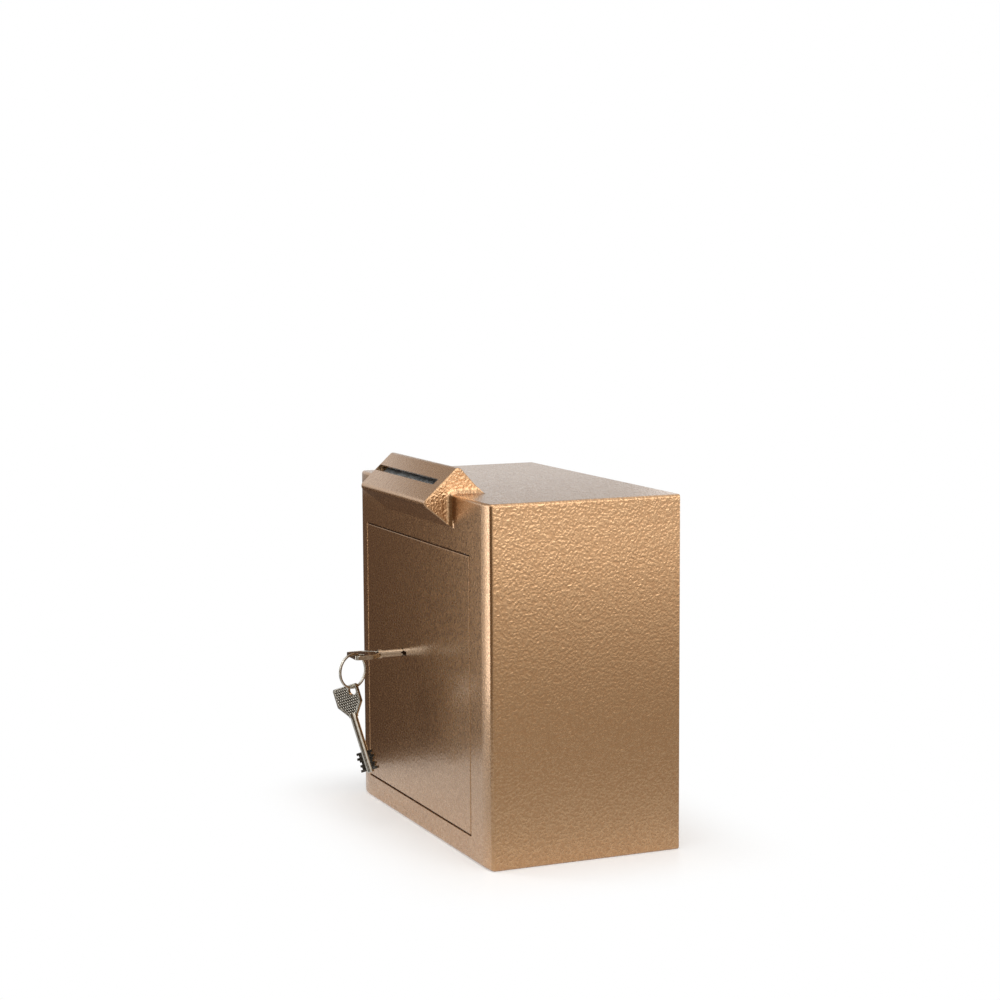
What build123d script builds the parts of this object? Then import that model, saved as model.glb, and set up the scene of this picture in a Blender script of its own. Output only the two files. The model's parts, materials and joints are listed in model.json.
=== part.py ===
from build123d import *
import math
import os

os.makedirs("parts", exist_ok=True)

# Donation safe in millimetres: X is width, Y is depth with the front facing -Y, Z is up.
# The origin is the centre of the footprint, on the floor.

# Casing
case_width = 350.0
case_depth = 200.0
case_height = 350.0
sheet = 3.0
back_sheet = 3.0
edge_round = 3.0

# Soft vertical edges at the front: the sheet bows gently over this width, then bends to the side
corner_wide = 20.0
corner_bow = 10.0
corner_round = 4.0

# Door opening, measured from the outer faces of the casing
left_jamb = 21.5
right_jamb = 48.5
bottom_rail = 23.5
top_rail = 53.5
return_depth = 15.0
opening_round = 0.8

# Fixing holes in the back and the base
anchor_hole_d = 11.0
back_hole_span_x = 220.0
back_hole_span_z = 200.0
back_hole_level = 165.0
base_hole_span_x = 240.0
base_hole_span_y = 90.0
base_hole_shift = 30.0

# Deposit hood: a folded sheet across the top front edge, given from that edge
hood_length = 178.0
hood_shift = -6.0
hood_sheet = 2.0
hood_end_sheet = 2.0
hood_tip_reach = 30.5
hood_tip_drop = 7.5
hood_ridge_back = 8.0
hood_ridge_rise = 27.8
hood_foot_drop = 32.0
hood_heel_back = 33.5
hood_fold_round = 5.0
hood_end_round = 1.5
seam_size = 6.0
slot_margin = 14.0
slot_width = 7.6
slot_from_ridge = 20.3
slot_round = 1.5

# Baffles of galvanised sheet behind the slot
baffle_sheet = 1.2
baffle_drop = 5.5
baffle_run = 37.0
baffle_flange = 10.0
baffle_side_gap = 0.5
throat_flange = 15.0
throat_run = 24.0
throat_slope = 45.0

# Door leaf
door_gap = 1.2
door_thick = 10.0
door_round = 0.8
stop_gap = 0.3
stop_width = 5.0
stop_thick = 3.0

# Concealed pivots at the right edge of the door
pivot_from_edge = 20.0
pivot_depth = 6.0
pin_d = 5.0
pin_in_door = 12.0
pin_fit = 0.05
bush_d = 14.0
bush_length = 6.0

# Keyhole
keyhole_from_edge = 98.0
keyhole_level = 173.3
keyhole_fit = 0.7

# Key
key_shaft_d = 7.5
key_reach = 25.0
key_bow_width = 30.0
key_bow_length = 30.5
key_bow_taper = 11.5
key_bow_neck = 10.0
key_bow_thick = 3.6
key_bow_round = 2.5
key_hole_d = 9.0
key_hole_inset = 6.5
key_collar_d = 9.5
key_collar_length = 4.0
key_bit_radius = 11.0
key_bit_thick = 3.0
key_bit_length = 20.0
key_bit_from_tip = 2.0
key_tip_chamfer = 0.8
key_cuts = (1.0, 3.2, 0.0, 2.4, 4.2, 1.4, 3.0, 0.4)

# Key ring
ring_outer_d = 36.0
ring_radial = 2.0
ring_axial = 2.6
ring_round = 0.5
ring_turn = 22.0
ring_clear = 0.25
ring_past_step = 0.1
ring_past_steps = 60
ring_past_else = 3.0

# Spare key on the ring
spare_turn = 36.0
spare_tilt = 20.0
spare_clear = 0.45

# Lever lock
lock_right_of_key = 36.4
lock_left_of_key = 46.0
lock_height = 70.0
lock_wall = 2.0
layer_gap = 0.5
lock_back_gap = 1.0
key_tip_gap = 0.4
curtain_d = 27.0
curtain_fit = 0.08
curtain_thick = 3.7
bolt_plate_thick = 4.0
bolt_plate_height = 36.0
bolt_plate_head = 27.0
bolt_plate_arm = 31.0
bolt_plate_clear = 1.0
talon_d = 6.0
talon_from_key = 9.0
tongue_height = 20.0
tongue_fit = 0.3
rivet_stand = 2.0
stump_d = 5.0
stump_from_key = 20.0
stump_clear = 0.4
lever_count = 7
lever_pitch = 2.0
lever_thick = 1.6
lever_window_clear = 2.5
lever_height = 36.0
lever_left_of_key = 42.0
lever_corner = 8.0
lever_lift = 3.0
lever_pivot_from_key = 27.0
lever_pivot_d = 5.0
lever_pivot_fit = 0.05
lever_end = 6.5
post_d = 9.0
post_inset = 7.5

# Boltwork
bolt_d = 12.0
bolt_throw = 15.0
bolt_count = 3
bolt_span = 85.0
bolt_fit = 0.15
bolt_hole_clear = 0.6
bolt_tip_clear = 2.0
bolt_tip_chamfer = 1.5
bolt_axis_depth = 12.0
bolt_tail_d = 8.0
guide_thick = 6.0
guide_depth = 22.0
guide_margin = 12.0
bar_thick = 4.0
bar_room = 5.5
bar_depth = 19.5
bar_gap = 0.5
bar_margin = 10.0

# Mechanism cover
cover_sheet = 1.5
cover_room = 2.0
cover_from_edge = 11.0
cover_past_lock = 10.0
cover_past_bolt = 17.0
cover_flange = 10.0
cover_round = 3.0
cover_gap = 0.3

# Screws
screw_d = 4.0
screw_head_d = 8.0
screw_head_height = 2.4
lock_head_height = 1.8
screw_head_round = 1.0
screw_depth = 5.0
screw_fit = 0.2

# Faces and levels that several pieces share
front_y = -case_depth / 2
back_y = case_depth / 2
left_x = -case_width / 2
right_x = case_width / 2
opening_left = left_x + left_jamb
opening_right = right_x - right_jamb
opening_bottom = bottom_rail
opening_top = case_height - top_rail
opening_w = opening_right - opening_left
opening_h = opening_top - opening_bottom
opening_mid = ((opening_left + opening_right) / 2, (opening_bottom + opening_top) / 2)
door_left = opening_left + door_gap
door_right = opening_right - door_gap
door_bottom = opening_bottom + door_gap
door_top = opening_top - door_gap
door_back = front_y + door_thick
pivot = (door_right - pivot_from_edge, front_y + pivot_depth)
key_x = door_left + keyhole_from_edge
key_z = keyhole_level

# Layers of the lock, from the back of the door towards the inside
curtain_front = door_back + tongue_fit
bolt_plate_front = curtain_front + curtain_thick + layer_gap
levers_front = bolt_plate_front + bolt_plate_thick + layer_gap
levers_back = levers_front + lever_count * lever_pitch - (lever_pitch - lever_thick)
lock_cover_front = levers_back + lock_back_gap
lock_back = lock_cover_front + lock_wall
key_tip = lock_back - key_tip_gap
key_shaft_length = key_tip - (front_y - key_reach)
lock_left = key_x - lock_left_of_key
lock_right = key_x + lock_right_of_key
post_x = (lock_left + post_inset, lock_right - post_inset)
post_z = (key_z - lock_height / 2 + post_inset, key_z + lock_height / 2 - post_inset)

# Lines of the boltwork
bolt_levels = [key_z + (i - (bolt_count - 1) / 2) * bolt_span for i in range(bolt_count)]
bolt_y = door_back + bolt_axis_depth
bolt_tip = opening_left + stop_width + bolt_tip_clear
cover_left = door_left + cover_from_edge
guide_left = cover_left + cover_sheet + cover_gap
guide_right = guide_left + guide_thick
bar_left = guide_right + bolt_throw + bar_room
cover_right = lock_right + cover_past_lock
cover_back = lock_back + cover_room + cover_sheet
cover_bottom = bolt_levels[0] - cover_past_bolt
cover_top = bolt_levels[-1] + cover_past_bolt
cover_mid = ((cover_left + cover_right) / 2, (cover_bottom + cover_top) / 2)
flange_mid = cover_flange / 2
cover_screws_at = [(x, z) for x in (cover_left + cover_flange, cover_right - cover_flange)
                   for z in (cover_bottom - flange_mid, cover_top + flange_mid)]
lock_screws_at = [(x, z) for x in post_x for z in post_z]


def across(y):
    # Plane at depth y with X to the right and Z up; a negative extrusion runs towards the back.
    return Plane.XZ.offset(-y)


# Hood section in the YZ plane: ridge, tip, foot on the front face, heel on the top face
ridge = Vector(front_y + hood_ridge_back, case_height + hood_ridge_rise)
tip = Vector(front_y - hood_tip_reach, case_height - hood_tip_drop)
foot = Vector(front_y, case_height - hood_foot_drop)
heel = Vector(front_y + hood_heel_back, case_height)
slope = (tip - ridge).normalized()
slope_out = Vector(slope.Y, -slope.X)
fall = (heel - ridge).normalized()
fall_in = Vector(fall.Y, -fall.X)
under = (foot - tip).normalized()
hood_mid = hood_shift
hood_left = hood_mid - hood_length / 2
hood_right = hood_mid + hood_length / 2
cover_start = hood_left + hood_end_sheet
cover_length = hood_length - 2 * hood_end_sheet
slot_length = cover_length - slot_margin
foot_cover = hood_sheet / abs(under.X)
heel_cover = hood_sheet / abs(fall.Y)


def casing_plan(inset, back):
    # Outline of the casing from above, drawn in by inset from its outer faces and closed at back.
    bow_sin = math.sin(math.radians(corner_bow))
    bow_cos = math.cos(math.radians(corner_bow))
    bow_radius = (corner_wide - corner_round * (1 - bow_sin)) / bow_sin
    bend_y = front_y + bow_radius - (bow_radius - corner_round) * bow_cos
    bend_x = case_width / 2 - corner_round
    bow_x = case_width / 2 - corner_wide
    side_x = case_width / 2 - inset
    with BuildLine() as outline:
        Polyline((-side_x, bend_y), (-side_x, back), (side_x, back), (side_x, bend_y))
        Line((-bow_x, front_y + inset), (bow_x, front_y + inset))
        CenterArc((bow_x, front_y + bow_radius), bow_radius - inset, -90, corner_bow)
        CenterArc((bend_x, bend_y), corner_round - inset, corner_bow - 90, 90 - corner_bow)
        CenterArc((-bow_x, front_y + bow_radius), bow_radius - inset, -90, -corner_bow)
        CenterArc((-bend_x, bend_y), corner_round - inset, -90 - corner_bow, corner_bow - 90)
    return outline.wire()


# Casing: one folded body with soft front edges and returns round the door opening, open behind
with BuildPart() as shell:
    with BuildSketch(Plane.XY):
        make_face(casing_plan(0, back_y - back_sheet).edges())
    extrude(amount=case_height)
    fillet(shell.faces().sort_by(Axis.Z)[-1].edges().sort_by(Axis.Y)[:-1], edge_round)
    fillet(shell.faces().sort_by(Axis.Z)[0].edges().sort_by(Axis.Y)[:-1], edge_round)
    with BuildSketch(Plane.XY.offset(sheet)):
        make_face(casing_plan(sheet, back_y).edges())
    extrude(amount=case_height - 2 * sheet, mode=Mode.SUBTRACT)
    with BuildSketch(across(front_y + sheet / 2)):
        with Locations(opening_mid):
            Rectangle(opening_w + 2 * sheet, opening_h + 2 * sheet)
    extrude(amount=-(return_depth - sheet / 2))
    with BuildSketch(across(front_y)):
        with Locations(opening_mid):
            Rectangle(opening_w, opening_h)
    extrude(amount=-case_depth, mode=Mode.SUBTRACT)
    opening_wire = shell.faces().sort_by(Axis.Y)[0].inner_wires()[0]
    fillet(opening_wire.edges(), opening_round)
    with BuildSketch(Plane.XY.offset(case_height)):
        with Locations((hood_mid, front_y)):
            Rectangle(cover_length, 2 * (hood_heel_back - heel_cover))
    extrude(amount=-(hood_foot_drop - foot_cover), mode=Mode.SUBTRACT)
    with BuildSketch(Plane.XY.offset(opening_bottom - sheet)):
        with Locations(pivot):
            Circle(pin_d / 2 + pin_fit)
    extrude(amount=opening_h + 2 * sheet, mode=Mode.SUBTRACT)
    with BuildSketch(Plane.XY):
        with Locations((0, base_hole_shift)):
            with GridLocations(base_hole_span_x, base_hole_span_y, 2, 2):
                Circle(anchor_hole_d / 2)
    extrude(amount=sheet, mode=Mode.SUBTRACT)
shell.part.label = "shell"
export_step(shell.part, "parts/shell.step")

# Back panel, welded on behind, with four fixing holes
with BuildPart() as back_panel:
    with BuildSketch(across(back_y)):
        with Locations((0, case_height / 2)):
            RectangleRounded(case_width, case_height, edge_round)
        with Locations((0, back_hole_level)):
            with GridLocations(back_hole_span_x, back_hole_span_z, 2, 2):
                Circle(anchor_hole_d / 2, mode=Mode.SUBTRACT)
    extrude(amount=back_sheet)
back_panel.part.label = "back_panel"
export_step(back_panel.part, "parts/back_panel.step")

# Door stops: a strip inside three sides of the opening, behind the edge of the door
with BuildPart() as door_stop:
    with BuildSketch(across(door_back + stop_gap)):
        with Locations(opening_mid):
            Rectangle(opening_w, opening_h)
        with Locations((opening_mid[0] + stop_width, opening_mid[1])):
            Rectangle(opening_w, opening_h - 2 * stop_width, mode=Mode.SUBTRACT)
        with Locations((opening_right, opening_mid[1])):
            Rectangle(4 * pivot_from_edge, opening_h, mode=Mode.SUBTRACT)
    extrude(amount=-stop_thick)
door_stop.part.label = "door_stop"
export_step(door_stop.part, "parts/door_stop.step")

# Pivot bushes on the far side of the top and bottom returns, cut flat against the front sheet
with BuildPart() as pivot_bushes:
    for level in (opening_bottom - sheet - bush_length, opening_top + sheet):
        with BuildSketch(Plane.XY.offset(level)):
            with Locations(pivot):
                Circle(bush_d / 2)
            with Locations((pivot[0], front_y + sheet - bush_d / 2)):
                Rectangle(bush_d, bush_d, mode=Mode.SUBTRACT)
            with Locations(pivot):
                Circle(pin_d / 2 + pin_fit, mode=Mode.SUBTRACT)
        extrude(amount=bush_length)
pivot_bushes.part.label = "pivot_bushes"
export_step(pivot_bushes.part, "parts/pivot_bushes.step")

# Hood cover: a folded strip that carries the slot, its feet trimmed to the two faces of the casing.
# The slot starts at the left end plate.
slot_mid = ridge + slope * (slot_from_ridge + slot_width / 2)
slot_plane = Plane(origin=(cover_start, slot_mid.X, slot_mid.Y), x_dir=(1, 0, 0),
                   z_dir=(0, slope_out.X, slope_out.Y))
with BuildPart() as hood_cover:
    with BuildSketch(Plane.YZ.offset(cover_start)):
        with BuildLine():
            Polyline(foot + under * hood_foot_drop, tip, ridge, heel + fall * hood_foot_drop, close=True)
        make_face()
        fillet(vertices().sort_by(Axis.Y)[-2:], hood_fold_round)
        offset(amount=-hood_sheet, kind=Kind.ARC, mode=Mode.SUBTRACT)
        with Locations((front_y, case_height)):
            Rectangle(2 * case_depth, case_height, align=(Align.MIN, Align.MAX), mode=Mode.SUBTRACT)
    extrude(amount=cover_length)
    with BuildSketch(slot_plane):
        Rectangle(slot_length, slot_width, align=(Align.MIN, Align.CENTER))
        fillet(vertices().group_by(Axis.X)[-1], slot_round)
    extrude(amount=hood_sheet * 2, both=True, mode=Mode.SUBTRACT)
hood_cover.part.label = "hood_cover"
export_step(hood_cover.part, "parts/hood_cover.step")

# Hood ends: plates that close the fold, notched to sit over the rounded front edge of the casing
with BuildPart() as hood_end_right:
    with BuildSketch(Plane.YZ.offset(hood_right - hood_end_sheet)):
        with BuildLine():
            Polyline(foot, tip, ridge, heel, close=True)
        make_face()
        fillet([vertices().sort_by(Axis.Y)[-1], vertices().sort_by(Axis.X)[0]], hood_fold_round)
        with Locations((front_y + case_depth / 2, case_height / 2)):
            RectangleRounded(case_depth, case_height, edge_round, mode=Mode.SUBTRACT)
    extrude(amount=hood_end_sheet)
    end_rim = hood_end_right.faces().sort_by(Axis.X)[-1].edges()
    free_rim = [e for e in end_rim
                if e.center().Y < front_y - hood_sheet or e.center().Z > case_height + hood_sheet]
    fillet(free_rim, hood_end_round)
hood_end_right.part.label = "hood_end_right"
export_step(hood_end_right.part, "parts/hood_end_right.step")

with BuildPart() as hood_end_left:
    mirror(hood_end_right.part, about=Plane.YZ.offset(hood_mid))
hood_end_left.part.label = "hood_end_left"
export_step(hood_end_left.part, "parts/hood_end_left.step")

# Filled seams: a hollow fillet along the foot of each hood end, over the rounded edge of the casing
with BuildPart() as hood_seam_right:
    with BuildLine():
        FilletPolyline((hood_right, foot.X, foot.Y), (hood_right, front_y, case_height),
                       (hood_right, heel.X, heel.Y), radius=edge_round)
    with BuildSketch(Plane(origin=(hood_right, foot.X, foot.Y), x_dir=(1, 0, 0), z_dir=(0, 0, 1))):
        with BuildLine():
            Line((0, 0), (seam_size, 0))
            RadiusArc((seam_size, 0), (0, -seam_size), -seam_size)
            Line((0, -seam_size), (0, 0))
        make_face()
    sweep()
    with BuildSketch(Plane.YZ.offset(hood_right)):
        with BuildLine():
            Polyline(foot, tip, ridge, heel, close=True)
        make_face()
    extrude(amount=seam_size, mode=Mode.INTERSECT)
hood_seam_right.part.label = "hood_seam_right"
export_step(hood_seam_right.part, "parts/hood_seam_right.step")

with BuildPart() as hood_seam_left:
    mirror(hood_seam_right.part, about=Plane.YZ.offset(hood_mid))
hood_seam_left.part.label = "hood_seam_left"
export_step(hood_seam_left.part, "parts/hood_seam_left.step")

# Slot baffle: a folded plate below the slot, spot welded by its flange to the back of the hood.
# Coins fall on it, slide to the tip of the hood and turn back into the casing.
baffle_top = hood_sheet + baffle_drop
wall = ridge + fall_in * hood_sheet
fall_share = abs(fall.dot(slope_out))
wall_depth = hood_sheet * abs(fall_in.dot(slope_out))
baffle_high = wall + fall * ((baffle_top - wall_depth) / fall_share)
baffle_low = baffle_high + fall * (baffle_sheet / fall_share)
with BuildPart() as slot_baffle:
    with BuildSketch(Plane.YZ.offset(cover_start + baffle_side_gap)):
        with BuildLine():
            Polyline(baffle_high, baffle_high + slope * baffle_run, baffle_low + slope * baffle_run,
                     baffle_low + fall_in * baffle_sheet, baffle_high + fall * baffle_flange
                     + fall_in * baffle_sheet, baffle_high + fall * baffle_flange, close=True)
        make_face()
    extrude(amount=cover_length - 2 * baffle_side_gap)
slot_baffle.part.label = "slot_baffle"
export_step(slot_baffle.part, "parts/slot_baffle.step")

# Throat baffle: hangs from the underside of the top, behind the throat, and leans forward
throat_y = heel.X - heel_cover
throat_z = case_height - sheet
lean = Vector(-math.cos(math.radians(throat_slope)), -math.sin(math.radians(throat_slope)))
lean_back = Vector(-lean.Y, lean.X)
throat_edge = Vector(throat_y, throat_z)
bend_in = baffle_sheet * math.tan(math.radians(throat_slope / 2))
throat_bend = throat_edge + lean_back * baffle_sheet + lean * bend_in
with BuildPart() as throat_baffle:
    with BuildSketch(Plane.YZ.offset(cover_start + baffle_side_gap)):
        with BuildLine():
            Polyline(throat_edge, (throat_y + throat_flange, throat_z),
                     (throat_y + throat_flange, throat_z - baffle_sheet), throat_bend,
                     throat_edge + lean_back * baffle_sheet + lean * throat_run,
                     throat_edge + lean * throat_run, close=True)
        make_face()
    extrude(amount=cover_length - 2 * baffle_side_gap)
throat_baffle.part.label = "throat_baffle"
export_step(throat_baffle.part, "parts/throat_baffle.step")

# Door leaf: flush plate with the keyhole, pivot holes in its edges and threaded holes behind
with BuildPart() as door_leaf:
    with BuildSketch(across(front_y)):
        with Locations(opening_mid):
            Rectangle(door_right - door_left, door_top - door_bottom)
    extrude(amount=-door_thick)
    fillet(door_leaf.faces().sort_by(Axis.Y)[0].edges(), door_round)
    with BuildSketch(across(front_y)):
        with Locations((key_x, key_z)):
            Circle(key_shaft_d / 2 + keyhole_fit)
            Rectangle(2 * (key_bit_radius + keyhole_fit), key_bit_thick + 2 * keyhole_fit)
    extrude(amount=-door_thick, mode=Mode.SUBTRACT)
    for level in (door_bottom, door_top - pin_in_door):
        with BuildSketch(Plane.XY.offset(level)):
            with Locations(pivot):
                Circle(pin_d / 2)
        extrude(amount=pin_in_door, mode=Mode.SUBTRACT)
    with BuildSketch(across(door_back)):
        with Locations(cover_screws_at + lock_screws_at):
            Circle(screw_d / 2)
    extrude(amount=screw_depth, mode=Mode.SUBTRACT)
door_leaf.part.label = "door_leaf"
export_step(door_leaf.part, "parts/door_leaf.step")

# Pivot pins, fixed in the top and bottom edges of the door and turning in the bushes
with BuildPart() as pivot_pins:
    for level in (opening_bottom - sheet - bush_length, door_top - pin_in_door):
        with BuildSketch(Plane.XY.offset(level)):
            with Locations(pivot):
                Circle(pin_d / 2)
        extrude(amount=pin_in_door + door_gap + sheet + bush_length)
pivot_pins.part.label = "pivot_pins"
export_step(pivot_pins.part, "parts/pivot_pins.step")

# Lock case: a tray screwed behind the keyhole, with a bearing hole for the curtain and screw posts
with BuildPart() as lock_case:
    lock_mid = ((lock_left + lock_right) / 2, key_z)
    with BuildSketch(across(door_back)):
        with Locations(lock_mid):
            Rectangle(lock_right - lock_left, lock_height)
    extrude(amount=-(lock_cover_front - door_back))
    with BuildSketch(across(door_back + lock_wall)):
        with Locations(lock_mid):
            Rectangle(lock_right - lock_left - 2 * lock_wall, lock_height - 2 * lock_wall)
        with Locations([(x, z) for x in post_x for z in post_z]):
            Circle(post_d / 2, mode=Mode.SUBTRACT)
    extrude(amount=-(lock_back - door_back), mode=Mode.SUBTRACT)
    with BuildSketch(across(door_back)):
        with Locations((key_x, key_z)):
            Circle(curtain_d / 2 + curtain_fit)
        with Locations([(x, z) for x in post_x for z in post_z]):
            Circle(screw_d / 2 + screw_fit)
    extrude(amount=-(lock_back - door_back), mode=Mode.SUBTRACT)
    with BuildSketch(Plane.YZ.offset(lock_left)):
        with Locations((bolt_plate_front + bolt_plate_thick / 2, key_z)):
            Rectangle(bolt_plate_thick + 2 * tongue_fit, tongue_height + 2 * tongue_fit)
    extrude(amount=lock_wall, mode=Mode.SUBTRACT)
lock_case.part.label = "lock_case"
export_step(lock_case.part, "parts/lock_case.step")

# Lock cover: closes the tray and steadies the tip of the key
with BuildPart() as lock_cover:
    with BuildSketch(across(lock_cover_front)):
        with Locations(lock_mid):
            Rectangle(lock_right - lock_left, lock_height)
        with Locations((key_x, key_z)):
            Circle(key_shaft_d / 2 + keyhole_fit / 2, mode=Mode.SUBTRACT)
        with Locations(lock_screws_at):
            Circle(screw_d / 2 + screw_fit, mode=Mode.SUBTRACT)
    extrude(amount=-lock_wall)
lock_cover.part.label = "lock_cover"
export_step(lock_cover.part, "parts/lock_cover.step")

# Pivot post of the levers, riveted between the lock case and its cover
with BuildPart() as lever_post:
    with BuildSketch(across(door_back + lock_wall)):
        with Locations((key_x + lever_pivot_from_key, key_z)):
            Circle(lever_pivot_d / 2)
    extrude(amount=-(lock_cover_front - door_back - lock_wall))
lever_post.part.label = "lever_post"
export_step(lever_post.part, "parts/lever_post.step")

# Levers: sprung plates with a round window for the key bits and a stepped gate for the stump
lever_reach = lever_left_of_key + lever_pivot_from_key
gate_rise = (lever_reach + lever_height / 2) * math.sin(math.radians(lever_lift))
stump_room = stump_d / 2 + stump_clear
gate_left = key_x - stump_from_key - bolt_throw - stump_room
gate_right = key_x - stump_from_key + stump_room
gate_low = key_z - stump_room - gate_rise
gate_high = key_z + stump_room
lever_left = key_x - lever_left_of_key
lever_right = key_x + lever_pivot_from_key + lever_end
with BuildPart() as levers:
    for i in range(lever_count):
        with BuildSketch(across(levers_front + i * lever_pitch)):
            with Locations(((lever_left + lever_right) / 2, key_z)):
                RectangleRounded(lever_right - lever_left, lever_height, lever_corner)
            with Locations((key_x, key_z)):
                Circle(key_bit_radius + lever_window_clear, mode=Mode.SUBTRACT)
            with Locations((key_x + lever_pivot_from_key, key_z)):
                Circle(lever_pivot_d / 2 + lever_pivot_fit, mode=Mode.SUBTRACT)
            with Locations(((gate_left + gate_right) / 2, (gate_low + gate_high) / 2)):
                Rectangle(gate_right - gate_left, gate_high - gate_low, mode=Mode.SUBTRACT)
            with Locations((gate_left + stump_room, (gate_low + gate_high) / 2),
                           (gate_right - stump_room, (gate_low + gate_high) / 2)):
                Rectangle(2 * stump_room, gate_high - gate_low + stump_d / 2, mode=Mode.SUBTRACT)
        extrude(amount=-lever_thick)
levers.part.label = "levers"
export_step(levers.part, "parts/levers.step")

# Lock bolt: a fork that clears the turning bits, with talons, a stump and a tongue out to the bar
with BuildPart() as lock_bolt:
    head_left = key_x - bolt_plate_head
    arm_right = key_x + bolt_plate_arm
    fork = key_bit_radius + bolt_plate_clear
    with BuildSketch(across(bolt_plate_front)):
        with Locations(((head_left + arm_right) / 2, key_z)):
            Rectangle(arm_right - head_left, bolt_plate_height)
        with Locations((key_x, key_z)):
            Circle(fork, mode=Mode.SUBTRACT)
            Rectangle(bolt_plate_arm, 2 * fork, align=(Align.MIN, Align.CENTER), mode=Mode.SUBTRACT)
        with Locations((key_x + talon_from_key, key_z + fork), (key_x + talon_from_key, key_z - fork)):
            Circle(talon_d / 2, mode=Mode.SUBTRACT)
        with Locations((head_left, key_z)):
            Rectangle(head_left - bar_left, tongue_height, align=(Align.MAX, Align.CENTER))
    extrude(amount=-bolt_plate_thick)
    with BuildSketch(across(bolt_plate_front)):
        with Locations((key_x - stump_from_key, key_z)):
            Circle(stump_d / 2)
    extrude(amount=-(levers_back + layer_gap - bolt_plate_front))
lock_bolt.part.label = "lock_bolt"
export_step(lock_bolt.part, "parts/lock_bolt.step")

# Bolt bar: carries the three bolts, riveted to the tongue of the lock bolt
with BuildPart() as bolt_bar:
    bar_height = bolt_levels[-1] - bolt_levels[0] + 2 * bar_margin
    with BuildSketch(Plane.YZ.offset(bar_left)):
        with Locations((door_back + bar_gap, key_z)):
            Rectangle(bar_depth, bar_height, align=(Align.MIN, Align.CENTER))
        with Locations([(bolt_y, z) for z in bolt_levels if z != key_z]):
            Circle(bolt_tail_d / 2, mode=Mode.SUBTRACT)
        with Locations((bolt_plate_front + bolt_plate_thick / 2, key_z)):
            Rectangle(bolt_plate_thick, tongue_height, mode=Mode.SUBTRACT)
    extrude(amount=bar_thick)
bolt_bar.part.label = "bolt_bar"
export_step(bolt_bar.part, "parts/bolt_bar.step")

# Locking bolts: three round bolts with chamfered tips, riveted to the bar by their tails
with BuildPart() as locking_bolts:
    for level in bolt_levels:
        with BuildSketch(Plane.YZ.offset(bolt_tip)):
            with Locations((bolt_y, level)):
                Circle(bolt_d / 2)
        extrude(amount=bar_left - bolt_tip)
    tip_faces = locking_bolts.faces().filter_by(Axis.X).group_by(Axis.X)[0]
    chamfer(tip_faces.edges(), bolt_tip_chamfer)
    for level in [z for z in bolt_levels if z != key_z]:
        with BuildSketch(Plane.YZ.offset(bar_left)):
            with Locations((bolt_y, level)):
                Circle(bolt_tail_d / 2)
        extrude(amount=bar_thick + rivet_stand)
locking_bolts.part.label = "locking_bolts"
export_step(locking_bolts.part, "parts/locking_bolts.step")

# Bolt guide: a bar welded to the back of the door, bored for the bolts
with BuildPart() as bolt_guide:
    guide_height = bolt_levels[-1] - bolt_levels[0] + 2 * guide_margin
    with BuildSketch(Plane.YZ.offset(guide_left)):
        with Locations((door_back, key_z)):
            Rectangle(guide_depth, guide_height, align=(Align.MIN, Align.CENTER))
        with Locations([(bolt_y, z) for z in bolt_levels]):
            Circle(bolt_d / 2 + bolt_fit, mode=Mode.SUBTRACT)
    extrude(amount=guide_thick)
bolt_guide.part.label = "bolt_guide"
export_step(bolt_guide.part, "parts/bolt_guide.step")

# Mechanism cover: a sheet tray over the lock and the boltwork, with a screwed flange above and below
with BuildPart() as mechanism_cover:
    cover_w = cover_right - cover_left
    cover_h = cover_top - cover_bottom
    with BuildSketch(across(door_back)):
        with Locations(cover_mid):
            Rectangle(cover_w, cover_h)
    extrude(amount=-(cover_back - door_back))
    fillet(mechanism_cover.faces().sort_by(Axis.Y)[-1].edges(), cover_round)
    with BuildSketch(across(door_back)):
        with Locations(cover_mid):
            Rectangle(cover_w, cover_h + 2 * cover_flange)
    extrude(amount=-cover_sheet)
    with BuildSketch(across(door_back)):
        with Locations(cover_mid):
            Rectangle(cover_w - 2 * cover_sheet, cover_h - 2 * cover_sheet)
    extrude(amount=-(cover_back - cover_sheet - door_back), mode=Mode.SUBTRACT)
    with BuildSketch(across(door_back)):
        with Locations(cover_screws_at):
            Circle(screw_d / 2 + screw_fit)
    extrude(amount=-cover_sheet, mode=Mode.SUBTRACT)
    with BuildSketch(Plane.YZ.offset(cover_left)):
        with Locations([(bolt_y, z) for z in bolt_levels]):
            Circle(bolt_d / 2 + bolt_hole_clear)
    extrude(amount=cover_sheet, mode=Mode.SUBTRACT)
mechanism_cover.part.label = "mechanism_cover"
export_step(mechanism_cover.part, "parts/mechanism_cover.step")

# Screws: pan heads with a plain shank, four through the cover flanges and four through the lock
with BuildPart() as cover_screws:
    with BuildSketch(across(door_back + cover_sheet)):
        with Locations(cover_screws_at):
            Circle(screw_head_d / 2)
    extrude(amount=-screw_head_height)
    fillet(cover_screws.faces().group_by(Axis.Y)[-1].edges(), screw_head_round)
    with BuildSketch(across(door_back + cover_sheet)):
        with Locations(cover_screws_at):
            Circle(screw_d / 2)
    extrude(amount=cover_sheet + screw_depth)
cover_screws.part.label = "cover_screws"
export_step(cover_screws.part, "parts/cover_screws.step")

with BuildPart() as lock_screws:
    with BuildSketch(across(lock_back)):
        with Locations(lock_screws_at):
            Circle(screw_head_d / 2)
    extrude(amount=-lock_head_height)
    with BuildSketch(across(lock_back)):
        with Locations(lock_screws_at):
            Circle(screw_d / 2)
    extrude(amount=lock_back - door_back + screw_depth)
lock_screws.part.label = "lock_screws"
export_step(lock_screws.part, "parts/lock_screws.step")


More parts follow.
